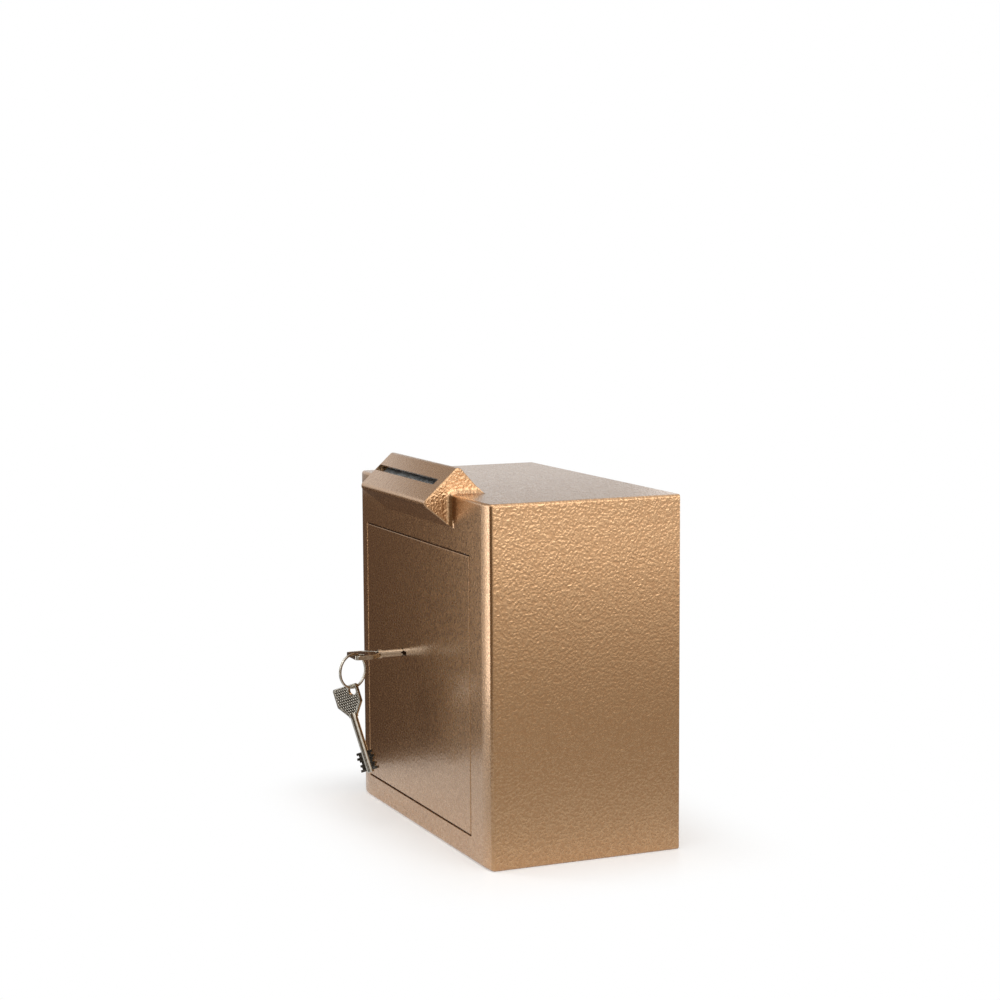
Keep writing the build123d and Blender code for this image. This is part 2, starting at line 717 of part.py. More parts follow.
def make_key(bow):
    # A key whose bow lies in the given plane: X across the bow, Y along the shaft, origin at the collar.
    half = key_bow_width / 2
    bit_start = key_shaft_length - key_bit_from_tip - key_bit_length
    step = key_bit_length / len(key_cuts)
    with BuildPart() as blank:
        with BuildSketch(bow.offset(-key_bow_thick / 2)):
            with BuildLine():
                Polyline((-key_bow_neck / 2, 0), (-half, -key_bow_taper), (-half, -key_bow_length),
                         (half, -key_bow_length), (half, -key_bow_taper), (key_bow_neck / 2, 0), close=True)
            make_face()
            fillet(vertices().group_by(Axis.Y)[0] + vertices().group_by(Axis.Y)[1], key_bow_round)
            with Locations((half - key_hole_inset, key_hole_inset - key_bow_length)):
                Circle(key_hole_d / 2, mode=Mode.SUBTRACT)
        extrude(amount=key_bow_thick)
        shaft = Plane(origin=bow.origin, x_dir=bow.x_dir, z_dir=bow.y_dir)
        with BuildSketch(shaft):
            Circle(key_shaft_d / 2)
        extrude(amount=key_shaft_length)
        chamfer(blank.faces().sort_by(Axis(bow.origin, bow.y_dir))[-1].edges(), key_tip_chamfer)
        with BuildSketch(shaft.offset(-key_collar_length / 2)):
            Circle(key_collar_d / 2)
        extrude(amount=key_collar_length)
        with BuildSketch(bow.offset(-key_bit_thick / 2)):
            for i, cut in enumerate(key_cuts):
                with Locations((0, bit_start + (i + 0.5) * step)):
                    Rectangle(2 * (key_bit_radius - cut), step)
        extrude(amount=key_bit_thick)
    return blank.part


# Key in the lock: level bow, as it stands when the bolts are drawn back
lock_key_bow = Plane(origin=(key_x, front_y - key_reach, key_z), x_dir=(1, 0, 0), z_dir=(0, 0, 1))
with BuildPart() as lock_key:
    add(make_key(lock_key_bow))
lock_key.part.label = "lock_key"
export_step(lock_key.part, "parts/lock_key.step")

# Curtain: the disc behind the keyhole that turns with the key
with BuildPart() as curtain:
    with BuildSketch(across(curtain_front)):
        with Locations((key_x, key_z)):
            Circle(curtain_d / 2)
            Circle(key_shaft_d / 2 + keyhole_fit / 2, mode=Mode.SUBTRACT)
            Rectangle(2 * (key_bit_radius + keyhole_fit / 2), key_bit_thick + keyhole_fit,
                      mode=Mode.SUBTRACT)
    extrude(amount=-curtain_thick)
curtain.part.label = "curtain"
export_step(curtain.part, "parts/curtain.step")

# Key ring: hangs through the corner hole of the bow and clears the strip outside it.
# Its plane is turned from the depth direction by ring_turn; outward is the way it leaves the bow.
outward = Vector(math.sin(math.radians(ring_turn)), -math.cos(math.radians(ring_turn)))
ring_outer = ring_outer_d / 2
ring_inner = ring_outer - ring_radial
hole_centre = Vector(key_x + key_bow_width / 2 - key_hole_inset,
                     front_y - key_reach - key_bow_length + key_hole_inset, key_z)
strip_far = key_hole_inset / math.cos(math.radians(ring_turn))
hole_half = math.sqrt((key_hole_d / 2) ** 2 - (ring_axial / 2) ** 2)


def ring_drop(past):
    # Height of the ring centre under the bow when it stands this far past the edge of the bow.
    return math.sqrt(ring_inner ** 2 - (past + strip_far - hole_half) ** 2) - key_bow_thick / 2 - ring_clear


def ring_spare_room(past):
    # Room left under the bow at the far side of the hole.
    far_side = past + strip_far + hole_half
    return ring_drop(past) - math.sqrt(ring_outer ** 2 - far_side ** 2) - key_bow_thick / 2


# The ring hangs as close to the edge of the bow as the far side of the hole lets it
ring_pasts = [ring_past_step * i for i in range(ring_past_steps)]
ring_past = min((past for past in ring_pasts if ring_spare_room(past) > ring_clear), default=ring_past_else)
ring_flat = outward * (ring_past + strip_far)
ring_centre = hole_centre + Vector(ring_flat.X, ring_flat.Y, -ring_drop(ring_past))
ring_axis = Vector(-outward.Y, outward.X, 0)
with BuildPart() as key_ring:
    with BuildSketch(Plane(origin=ring_centre, x_dir=(0, 0, 1), z_dir=(outward.X, outward.Y, 0))):
        with Locations(((ring_outer + ring_inner) / 2, 0)):
            RectangleRounded(ring_radial, ring_axial, ring_round)
    revolve(axis=Axis(ring_centre, ring_axis))
key_ring.part.label = "key_ring"
export_step(key_ring.part, "parts/key_ring.step")

# Spare key: hangs by its corner hole from the lowest point of the ring, leaning by its own balance
spare_level = Vector(math.cos(math.radians(spare_turn)), math.sin(math.radians(spare_turn)), 0)
lean_sin = math.sin(math.radians(spare_tilt))
lean_cos = math.cos(math.radians(spare_tilt))
spare_down = spare_level * lean_sin + Vector(0, 0, -lean_cos)
spare_side = spare_level * lean_cos + Vector(0, 0, lean_sin)
spare_hole = ring_centre + Vector(0, 0, spare_clear - ring_inner - key_hole_d / 2)
spare_origin = (spare_hole - spare_side * (key_bow_width / 2 - key_hole_inset)
                + spare_down * (key_bow_length - key_hole_inset))
with BuildPart() as spare_key:
    add(make_key(Plane(origin=spare_origin, x_dir=spare_side, z_dir=spare_side.cross(spare_down))))
spare_key.part.label = "spare_key"
export_step(spare_key.part, "parts/spare_key.step")
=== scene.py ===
import json
import math
import bmesh
import bpy
import numpy as np
from mathutils import Matrix


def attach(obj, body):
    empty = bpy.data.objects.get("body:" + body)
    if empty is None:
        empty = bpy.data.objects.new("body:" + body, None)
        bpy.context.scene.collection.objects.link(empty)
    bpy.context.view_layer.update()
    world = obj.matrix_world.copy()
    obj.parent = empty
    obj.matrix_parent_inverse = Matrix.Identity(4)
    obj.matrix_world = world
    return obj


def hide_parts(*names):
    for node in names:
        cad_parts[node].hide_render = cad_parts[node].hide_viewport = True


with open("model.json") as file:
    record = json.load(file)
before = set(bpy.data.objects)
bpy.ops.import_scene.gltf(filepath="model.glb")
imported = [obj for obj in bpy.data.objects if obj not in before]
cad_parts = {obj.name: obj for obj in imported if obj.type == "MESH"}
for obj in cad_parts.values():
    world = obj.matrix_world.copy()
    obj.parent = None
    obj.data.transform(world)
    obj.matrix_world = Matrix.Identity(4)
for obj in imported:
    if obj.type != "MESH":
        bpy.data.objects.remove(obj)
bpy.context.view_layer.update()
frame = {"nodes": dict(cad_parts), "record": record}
nodes = frame["nodes"]
print("frame loaded:", len(nodes), "nodes")


def toLinear(code):
    # each channel c of the hex colour: c / 12.92 up to 0.04045, else ((c + 0.055) / 1.055) ^ 2.4
    c = np.array([int(code[i:i + 2], 16) for i in (1, 3, 5)]) / 255
    return (*np.where(c <= 0.04045, c / 12.92, ((c + 0.055) / 1.055) ** 2.4).tolist(), 1.0)


def addNode(tree, kind, settings=None, links=None):
    # settings: attributes or input sockets by name or number; links: input socket -> output socket
    node = tree.nodes.new(kind)
    for name, value in (settings or {}).items():
        if isinstance(name, str) and hasattr(node, name):
            setattr(node, name, value)
        else:
            node.inputs[name].default_value = value
    for name, source in (links or {}).items():
        tree.links.new(source, node.inputs[name])
    return node


def newMaterial(name):
    # a material with an empty node tree
    mat = bpy.data.materials.new(name)
    mat.use_nodes = True
    mat.node_tree.nodes.clear()
    return mat, mat.node_tree


def ramp(tree, source, stops):
    # a colour ramp from (place, hex) stops
    node = addNode(tree, "ShaderNodeValToRGB", links={"Fac": source})
    while len(node.color_ramp.elements) < len(stops):
        node.color_ramp.elements.new(0.5)
    for element, (place, code) in zip(node.color_ramp.elements, stops):
        element.position = place
        element.color = toLinear(code)
    return node.outputs["Color"]


# Powder coat with a hammered finish over sheet steel: metal flake in a clear binder that flows into
# shallow pits 2 to 3 mm apart, so the eye sees a bronze sheen broken into small soft lights. The relief
# is flatter on faces turned to the front, which look smoother.
# low, mid and high are the coat colours from pit to crest: low is painted shade in the pits and high is
# painted light on the crests
coatLook = {"low": "#b98d62", "mid": "#c0966b", "high": "#c89f74", "stops": (0.38, 0.56, 0.74),
            "pitMm": 2.6, "pitDetail": 1.0, "pitRoughness": 0.45, "pitBend": 0.25, "pitDepthMm": 0.62,
            "fineMm": 0.8, "fineDetail": 1.0, "fineRoughness": 0.5, "fineShare": 0.12,
            "frontFrom": -0.7, "frontTo": 0.0, "frontRelief": 0.18,
            "metallic": 0.92, "roughness": 0.26, "roughFrom": 0.3, "roughTo": 0.8, "duller": 0.08,
            "glossier": 0.05, "coat": 0.8, "coatRoughness": 0.16}


def objectPlace(tree):
    # the point of the surface in the object's own metres
    return addNode(tree, "ShaderNodeTexCoord").outputs["Object"]


def makeBronzeCoat():
    look = coatLook
    mat, tree = newMaterial("bronzeHammeredPowderCoat")
    place = objectPlace(tree)
    pits = addNode(tree, "ShaderNodeTexNoise",
                   {"Scale": 1000 / look["pitMm"], "Detail": look["pitDetail"],
                    "Roughness": look["pitRoughness"], "Distortion": look["pitBend"]}, {"Vector": place})
    fine = addNode(tree, "ShaderNodeTexNoise",
                   {"Scale": 1000 / look["fineMm"], "Detail": look["fineDetail"],
                    "Roughness": look["fineRoughness"]}, {"Vector": place})
    height = addNode(tree, "ShaderNodeMath", {"operation": "MULTIPLY_ADD", 1: look["fineShare"]},
                     {0: fine.outputs["Fac"], 2: pits.outputs["Fac"]})
    facingWay = addNode(tree, "ShaderNodeTexCoord").outputs["Normal"]
    turned = addNode(tree, "ShaderNodeSeparateXYZ", links={0: facingWay})
    relief = addNode(tree, "ShaderNodeMapRange",
                     {"From Min": look["frontFrom"], "From Max": look["frontTo"],
                      "To Min": look["frontRelief"], "To Max": 1.0}, {"Value": turned.outputs["Y"]})
    bump = addNode(tree, "ShaderNodeBump", {"Distance": look["pitDepthMm"] / 1000},
                   {"Height": height.outputs[0], "Strength": relief.outputs["Result"]})
    # the colour follows the pit height: painted shade darkens the hollows and painted light brightens the
    # crests, on top of the shading the bump itself gives
    paintedPitShadeToCrestLight = (look["low"], look["mid"], look["high"])
    colour = ramp(tree, height.outputs[0], list(zip(look["stops"], paintedPitShadeToCrestLight)))
    rough = addNode(tree, "ShaderNodeMapRange",
                    {"From Min": look["roughFrom"], "From Max": look["roughTo"],
                     "To Min": look["roughness"] + look["duller"],
                     "To Max": look["roughness"] - look["glossier"]}, {"Value": height.outputs[0]})
    shader = addNode(tree, "ShaderNodeBsdfPrincipled",
                     {"Metallic": look["metallic"], "Coat Weight": look["coat"],
                      "Coat Roughness": look["coatRoughness"]},
                     {"Base Color": colour, "Roughness": rough.outputs["Result"],
                      "Normal": bump.outputs["Normal"], "Coat Normal": bump.outputs["Normal"]})
    addNode(tree, "ShaderNodeOutputMaterial", links={"Surface": shader.outputs[0]})
    return mat


# Hot-dip galvanised sheet: zinc crystals a few millimetres wide, so a cool grey with patches of gloss.
zincLook = {"dark": "#8f9599", "light": "#b4babd", "spangleMm": 7.0, "scuffMm": 2.5, "scuffDetail": 3.0,
            "roughness": (0.32, 0.5), "relief": 0.3, "depthMm": 0.2, "metallic": 0.9}


def makeZinc():
    look = zincLook
    mat, tree = newMaterial("galvanisedSheet")
    place = objectPlace(tree)
    spangle = addNode(tree, "ShaderNodeTexVoronoi", {"Scale": 1000 / look["spangleMm"], "Randomness": 1.0},
                      {"Vector": place})
    grey = addNode(tree, "ShaderNodeSeparateColor", links={"Color": spangle.outputs["Color"]})
    scuff = addNode(tree, "ShaderNodeTexNoise",
                    {"Scale": 1000 / look["scuffMm"], "Detail": look["scuffDetail"]}, {"Vector": place})
    colour = ramp(tree, grey.outputs[0], [(0.0, look["dark"]), (1.0, look["light"])])
    rough = addNode(tree, "ShaderNodeMapRange",
                    {"To Min": look["roughness"][0], "To Max": look["roughness"][1]},
                    {"Value": grey.outputs[1]})
    bump = addNode(tree, "ShaderNodeBump", {"Strength": look["relief"], "Distance": look["depthMm"] / 1000},
                   {"Height": scuff.outputs["Fac"]})
    shader = addNode(tree, "ShaderNodeBsdfPrincipled", {"Metallic": look["metallic"]},
                     {"Base Color": colour, "Roughness": rough.outputs["Result"],
                      "Normal": bump.outputs["Normal"]})
    addNode(tree, "ShaderNodeOutputMaterial", links={"Surface": shader.outputs[0]})
    return mat


# Cold drawn steel: a fine scratched grain, so a grey with a soft broken shine.
steelLook = {"dark": "#8c8d8f", "light": "#a9a9a8", "stops": (0.3, 0.7), "grainMm": 0.8, "detail": 2.0,
             "relief": 0.25, "depthMm": 0.1, "roughness": 0.3}


def makeSteel():
    look = steelLook
    mat, tree = newMaterial("brightDrawnSteel")
    grain = addNode(tree, "ShaderNodeTexNoise", {"Scale": 1000 / look["grainMm"], "Detail": look["detail"]},
                    {"Vector": objectPlace(tree)})
    colour = ramp(tree, grain.outputs["Fac"], list(zip(look["stops"], (look["dark"], look["light"]))))
    bump = addNode(tree, "ShaderNodeBump", {"Strength": look["relief"], "Distance": look["depthMm"] / 1000},
                   {"Height": grain.outputs["Fac"]})
    shader = addNode(tree, "ShaderNodeBsdfPrincipled", {"Metallic": 1.0, "Roughness": look["roughness"]},
                     {"Base Color": colour, "Normal": bump.outputs["Normal"]})
    addNode(tree, "ShaderNodeOutputMaterial", links={"Surface": shader.outputs[0]})
    return mat


# Stamped brass plate: warm yellow, dulled by grease in patches.
brassLook = {"dark": "#a5844a", "light": "#c9a862", "stops": (0.35, 0.65), "patchMm": 6.0, "detail": 4.0,
             "roughness": (0.25, 0.45)}


def makeBrass():
    look = brassLook
    mat, tree = newMaterial("stampedBrass")
    dull = addNode(tree, "ShaderNodeTexNoise", {"Scale": 1000 / look["patchMm"], "Detail": look["detail"]},
                   {"Vector": objectPlace(tree)})
    colour = ramp(tree, dull.outputs["Fac"], list(zip(look["stops"], (look["dark"], look["light"]))))
    rough = addNode(tree, "ShaderNodeMapRange",
                    {"To Min": look["roughness"][0], "To Max": look["roughness"][1]},
                    {"Value": dull.outputs["Fac"]})
    shader = addNode(tree, "ShaderNodeBsdfPrincipled", {"Metallic": 1.0},
                     {"Base Color": colour, "Roughness": rough.outputs["Result"]})
    addNode(tree, "ShaderNodeOutputMaterial", links={"Surface": shader.outputs[0]})
    return mat


# Nickel plate over die-cast zinc: a near-mirror with a warm cast and worn patches.
nickelLook = {"dark": "#b9b3a6", "light": "#d2cec4", "stops": (0.3, 0.7), "wearMm": 3.0, "detail": 5.0,
              "wearRoughness": 0.6, "roughness": (0.1, 0.22), "relief": 0.1, "depthMm": 0.1}


def makeNickel():
    look = nickelLook
    mat, tree = newMaterial("nickelPlate")
    wear = addNode(tree, "ShaderNodeTexNoise",
                   {"Scale": 1000 / look["wearMm"], "Detail": look["detail"],
                    "Roughness": look["wearRoughness"]}, {"Vector": objectPlace(tree)})
    colour = ramp(tree, wear.outputs["Fac"], list(zip(look["stops"], (look["dark"], look["light"]))))
    rough = addNode(tree, "ShaderNodeMapRange",
                    {"From Min": look["stops"][0], "From Max": look["stops"][1],
                     "To Min": look["roughness"][0], "To Max": look["roughness"][1]},
                    {"Value": wear.outputs["Fac"]})
    bump = addNode(tree, "ShaderNodeBump", {"Strength": look["relief"], "Distance": look["depthMm"] / 1000},
                   {"Height": wear.outputs["Fac"]})
    shader = addNode(tree, "ShaderNodeBsdfPrincipled", {"Metallic": 1.0},
                     {"Base Color": colour, "Roughness": rough.outputs["Result"],
                      "Normal": bump.outputs["Normal"]})
    addNode(tree, "ShaderNodeOutputMaterial", links={"Surface": shader.outputs[0]})
    return mat


finishes = {"bronze_coat": makeBronzeCoat(), "zinc_sheet": makeZinc(), "steel": makeSteel(),
            "brass": makeBrass(), "nickel": makeNickel()}
for part in frame["record"]["subparts"]:
    mesh = nodes[part["node"]].data
    mesh.materials.clear()
    mesh.materials.append(finishes[part["material_slot"]])
print("finishes given")


def gridFaces(rows, columns, wrapRows=False, flip=False):
    # quads between neighbours of a rows x columns grid; columns always close, rows close when asked
    i = np.arange(rows if wrapRows else rows - 1)[:, None]
    k = np.arange(columns)[None, :]
    corners = [(i, k), (i + 1, k), (i + 1, k + 1), (i, k + 1)]
    quads = np.stack([np.broadcast_to((a % rows) * columns + b % columns, (i.size, k.size))
                      for a, b in corners], -1).reshape(-1, 4)
    return quads[:, ::-1] if flip else quads


weldM = 1e-7  # points nearer than this are one point


def makePiece(name, points, quads, body, slot):
    # points in millimetres become one smooth-shaded mesh in metres that rides on a body
    mesh = bpy.data.meshes.new(name)
    mesh.from_pydata((points / 1000).tolist(), [], quads.tolist())
    welded = bmesh.new()
    welded.from_mesh(mesh)
    bmesh.ops.delete(welded, geom=[v for v in welded.verts if not v.link_faces], context="VERTS")
    bmesh.ops.remove_doubles(welded, verts=welded.verts, dist=weldM)  # closes the wire's end caps
    welded.to_mesh(mesh)
    welded.free()
    mesh.polygons.foreach_set("use_smooth", np.ones(len(mesh.polygons), bool))
    piece = bpy.data.objects.new(name, mesh)
    bpy.context.scene.collection.objects.link(piece)
    mesh.materials.append(finishes[slot])
    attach(piece, body)
    return piece


# Split key ring: flat spring wire wound about two turns, sizes in millimetres and radians
ringSet = {"centre": (-42.0125, -158.374, 160.439), "axis": (0.927184, 0.374607, 0.0), "middleR": 17.0,
           "halfRadial": 1.0, "halfAxial": 0.64, "step": 1.3, "endGap": 0.25, "startTurn": 2.3,
           "along": 360, "around": 20, "square": 0.6}


def makeRing():
    # along the wire, angle a: centre + (R + p cos' b) * radial(a) + (shift(a) + q sin' b) * axis, where
    # shift steps over by one wire as the second turn starts, and cos' and sin' are powers that square
    # the section
    r = ringSet
    turn = np.linspace(r["endGap"], 4 * np.pi - r["endGap"], r["along"])
    ease = np.clip((turn - 2 * np.pi + r["endGap"]) / (2 * r["endGap"]), 0, 1)
    shift = r["step"] * (ease * ease * (3 - 2 * ease) - 0.5)
    close = np.ones_like(turn)
    close[[0, -1]] = 0.0
    b = np.linspace(0, 2 * np.pi, r["around"], endpoint=False)
    squareCos = np.sign(np.cos(b)) * np.abs(np.cos(b)) ** r["square"] * r["halfRadial"]
    squareSin = np.sign(np.sin(b)) * np.abs(np.sin(b)) ** r["square"] * r["halfAxial"]
    axis = np.array(r["axis"])
    across = np.cross(axis, (0, 0, 1))
    angle = turn + r["startTurn"]
    radial = np.cos(angle)[:, None] * across + np.sin(angle)[:, None] * np.array((0, 0, 1.0))
    reach = r["middleR"] + close[:, None] * squareCos
    level = shift[:, None] + close[:, None] * squareSin
    points = np.array(r["centre"]) + reach[..., None] * radial[:, None, :] + level[..., None] * axis
    quads = gridFaces(r["along"], r["around"], flip=True)
    return makePiece("splitRing", points.reshape(-1, 3), quads, "ring", "nickel")


# Key bow face: a raised rim, a collar round the hole and a field of small domes, in millimetres
bowSet = {"neckHalf": 5.0, "wideHalf": 15.0, "taper": 11.5, "length": 30.5, "face": 1.8,
          "hole": (8.5, -24.0), "collarR": 5.3, "collarHalf": 0.75, "collarRise": 0.3, "collarSteps": 96,
          "rimInset": 1.15, "neckShare": 0.5, "shoulderShare": 0.4, "rimHalf": 0.85, "rimRise": 0.38,
          "fieldInset": 1.5, "fieldRise": 0.05, "sink": 0.3, "pitch": 2.5, "domeR": 0.95, "domeRise": 0.32,
          "borderU": 0.985, "borderV": 0.01, "leastGap": 1e-6, "fieldGrid": (150, 150), "rimGrid": (320, 12),
          "soften": 22}


def closedTube(path, half, rise, level, around):
    # path point + half cos t * outward normal of the path + rise sin t upward, over the whole loop
    step = np.roll(path, -1, 0) - np.roll(path, 1, 0)
    outward = np.stack([step[:, 1], -step[:, 0]], 1) / np.linalg.norm(step, axis=1)[:, None]
    t = np.linspace(0, 2 * np.pi, around, endpoint=False)
    flat = path[:, None, :] + half * np.cos(t)[None, :, None] * outward[:, None, :]
    height = np.broadcast_to(level + rise * np.sin(t), flat.shape[:2])
    points = np.concatenate([flat, height[..., None]], -1).reshape(-1, 3)
    return points, gridFaces(len(path), around, wrapRows=True)


def bowOutline():
    # the bow's six corners drawn in by the inset, walked at an even step and softened by a running mean
    b, d = bowSet, bowSet["rimInset"]
    wide = b["wideHalf"] - d
    right = [(b["neckHalf"] - b["neckShare"] * d, -d), (wide, -b["taper"] - b["shoulderShare"] * d),
             (wide, d - b["length"])]
    corners = np.array([(-x, y) for x, y in right] + right[::-1])
    loop = np.vstack([corners, corners[:1]])
    gone = np.concatenate([[0], np.cumsum(np.linalg.norm(np.diff(loop, axis=0), axis=1))])
    at = np.linspace(0, gone[-1], b["rimGrid"][0], endpoint=False)
    path = np.stack([np.interp(at, gone, loop[:, k]) for k in (0, 1)], 1)
    reach = b["soften"] // 2
    return np.mean([np.roll(path, k, 0) for k in range(-reach, reach + 1)], 0)


def bowField():
    # u across, v along: x = u * half width at v, height = field + dome * (1 - r^2 / R^2)^2 for the
    # distance r to the nearest point of a staggered grid; the border dips into the bow, and the field
    # opens round the hole, where its points move out to the collar
    b = bowSet
    rows, columns = b["fieldGrid"]
    u, v = np.meshgrid(np.linspace(-1, 1, rows), np.linspace(0, 1, columns), indexing="ij")
    y = -(b["fieldInset"] + v * (b["length"] - 2 * b["fieldInset"]))
    half = np.interp(-y, [0, b["taper"], b["length"]],
                     [b["neckHalf"], b["wideHalf"], b["wideHalf"]])
    x = u * (half - b["fieldInset"])
    row = np.round(y / b["pitch"])
    dx = x / b["pitch"] + 0.5 * (row % 2)
    far = ((dx - np.round(dx)) ** 2 + (y / b["pitch"] - row) ** 2) * b["pitch"] ** 2 / b["domeR"] ** 2
    rise = b["fieldRise"] + b["domeRise"] * np.clip(1 - far, 0, 1) ** 2
    border = (np.abs(u) > b["borderU"]) | (v < b["borderV"]) | (v > 1 - b["borderV"])
    height = b["face"] + np.where(border, -b["sink"], rise)
    fromHole = np.stack([x - b["hole"][0], y - b["hole"][1]], -1)
    gap = np.linalg.norm(fromHole, axis=-1)
    inside = gap < b["collarR"]
    push = np.where(inside, b["collarR"] / np.maximum(gap, b["leastGap"]), 1.0)
    x = b["hole"][0] + fromHole[..., 0] * push
    y = b["hole"][1] + fromHole[..., 1] * push
    points = np.stack([x, y, height], -1).reshape(-1, 3)
    number = np.arange(rows * columns).reshape(rows, columns)
    quads = np.stack([number[:-1, :-1], number[:-1, 1:], number[1:, 1:], number[1:, :-1]], -1)
    quads = quads.reshape(-1, 4)
    return points, quads[~inside.reshape(-1)[quads].all(1)]


def makeBowFaces(name, body, origin, side, along, dotted=(1, -1)):
    # the face parts above and their mirror below, laid in the key's own frame: origin, side and along
    b = bowSet
    t = np.linspace(0, 2 * np.pi, b["collarSteps"], endpoint=False)
    circle = np.array(b["hole"]) + b["collarR"] * np.stack([np.cos(t), np.sin(t)], 1)
    around = b["rimGrid"][1]
    pieces = [bowField(), closedTube(bowOutline(), b["rimHalf"], b["rimRise"], b["face"], around),
              closedTube(circle, b["collarHalf"], b["collarRise"], b["face"], around)]
    points, quads, count = [], [], 0
    for sign in (1, -1):
        for local, faces in pieces if sign in dotted else pieces[1:]:
            points.append(local * (1, 1, sign))
            quads.append(faces[:, ::sign] + count)
            count += len(local)
    local = np.vstack(points)
    side, along = np.array(side), np.array(along)
    basis = np.stack([side, along, np.cross(side, along)])
    return makePiece(name, np.array(origin) + local @ basis, np.vstack(quads), body, "nickel")


# Where the two bows stand, in millimetres: the top face of the key in the lock has no dots
lockBow = {"origin": (-54.3, -125.0, 173.3), "side": (1.0, 0.0, 0.0), "along": (0.0, 1.0, 0.0),
           "dotted": (-1,)}
# The spare hangs by its hole, turned and tilted in degrees
spareBow = {"hole": (-42.0125, -158.374, 140.389), "turn": 36, "tilt": 20}


def spareFrame():
    # down = level * sin tilt - up * cos tilt and side = level * cos tilt + up * sin tilt, for the level
    # way (cos turn, sin turn, 0); the origin lies back from the hole by its place on the bow
    turn, tilt = math.radians(spareBow["turn"]), math.radians(spareBow["tilt"])
    levelWay = np.array((math.cos(turn), math.sin(turn), 0.0))
    down = levelWay * math.sin(tilt) - np.array((0, 0, math.cos(tilt)))
    side = levelWay * math.cos(tilt) + np.array((0, 0, math.sin(tilt)))
    origin = np.array(spareBow["hole"]) - side * bowSet["hole"][0] - down * bowSet["hole"][1]
    return origin, side, down


ring = makeRing()
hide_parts("key_ring")
makeBowFaces("lockKeyFaces", "key", **lockBow)
makeBowFaces("spareKeyFaces", "spare", *spareFrame())
print("ring and key faces made")

# Camera where the photograph was taken from, in metres and degrees
cameraSet = {"place": (2.0928, -0.9212, 0.5974), "azimuth": 66.539, "elevation": 6.639, "roll": -0.3133,
             "lensMm": 81.613, "sensorMm": 36.0, "nearM": 0.05}


def makeCamera():
    # forward = (-sin a cos e, cos a cos e, -sin e), right = forward x up, then both turned by the roll
    a, e, roll = (math.radians(cameraSet[k]) for k in ("azimuth", "elevation", "roll"))
    forward = np.array([-math.sin(a) * math.cos(e), math.cos(a) * math.cos(e), -math.sin(e)])
    right = np.cross(forward, [0, 0, 1])
    right /= np.linalg.norm(right)
    up = np.cross(right, forward)
    side = math.cos(roll) * right + math.sin(roll) * up
    top = math.cos(roll) * up - math.sin(roll) * right
    data = bpy.data.cameras.new("productCamera")
    data.lens = cameraSet["lensMm"]
    data.sensor_width = cameraSet["sensorMm"]
    data.clip_start = cameraSet["nearM"]
    camera = bpy.data.objects.new("productCamera", data)
    matrix = np.eye(4)
    matrix[:3, 0], matrix[:3, 1], matrix[:3, 2], matrix[:3, 3] = side, top, -forward, cameraSet["place"]
    bpy.context.scene.collection.objects.link(camera)
    camera.matrix_world = Matrix(matrix.tolist())
    bpy.context.scene.camera = camera


def facing(place, target):
    # columns of a turned frame whose -Z looks at the target
    back = np.array(place) - np.array(target)
    back = back / np.linalg.norm(back)
    right = np.cross([0, 0, 1], back)
    right /= np.linalg.norm(right)
    matrix = np.eye(4)
    matrix[:3, 0], matrix[:3, 1], matrix[:3, 2], matrix[:3, 3] = right, np.cross(back, right), back, place
    return Matrix(matrix.tolist())


# Softboxes: azimuth, distance, width, lowest and highest level in metres, watts
softboxes = {"boxRight": (100, 1.9, 1.5, 0.4, 1.6, 12.5),
             "boxLeft": (-31, 0.72, 0.2, 0.0, 1.1, 1.8)}
overhead = {"place": (0.5, -0.3, 2.0), "size": 1.6, "watts": 12.0}
# Graded cards that only reflections see: azimuth, distance, width in metres, then (height, colour) steps
cards = {"cardSide": (-89, 0.29, 0.64, ((0.0, "#54443a"), (0.1, "#57463a"), (0.31, "#5c4a3e"),
                                        (0.355, "#e2e2e1"), (0.44, "#ececec"), (0.49, "#a89c90"),
                                        (0.8, "#9f9488"))),
         "cardFront": (14, 0.74, 1.15, ((0.0, "#70604f"), (0.9, "#7b6b5a"))),
         "cardKeys": (-4, 0.34, 0.09, ((0.0, "#2c2825"), (0.12, "#3a342f"))),
         "cardBack": (104, 0.45, 0.9, ((0.0, "#ada69d"), (0.08, "#afa8a0"), (0.16, "#c8c3bc"),
                                       (0.24, "#f9f4ee"), (0.3, "#fffaf4")))}


def standing(azimuth, distance, low, high):
    # middle of an upright panel that faces the safe; azimuth 0 is in front of the door, 90 to its right
    a = math.radians(azimuth)
    return np.array([distance * math.sin(a), -distance * math.cos(a), (low + high) / 2])


def makeLights():
    # each softbox stands upright and looks level at the safe's middle line; the overhead looks at its foot
    for name, (azimuth, distance, width, low, high, watts) in softboxes.items():
        data = bpy.data.lights.new(name, "AREA")
        data.shape = "RECTANGLE"
        data.size, data.size_y, data.energy = width, high - low, watts
        lamp = bpy.data.objects.new(name, data)
        bpy.context.scene.collection.objects.link(lamp)
        place = standing(azimuth, distance, low, high)
        lamp.matrix_world = facing(place, (0, 0, place[2]))
        lamp.visible_camera = False
    data = bpy.data.lights.new("overhead", "AREA")
    data.size, data.energy = overhead["size"], overhead["watts"]
    lamp = bpy.data.objects.new("overhead", data)
    bpy.context.scene.collection.objects.link(lamp)
    lamp.matrix_world = facing(overhead["place"], (0, 0, 0))
    for name, (azimuth, distance, width, steps) in cards.items():
        makeCard(name, azimuth, distance, width, steps)


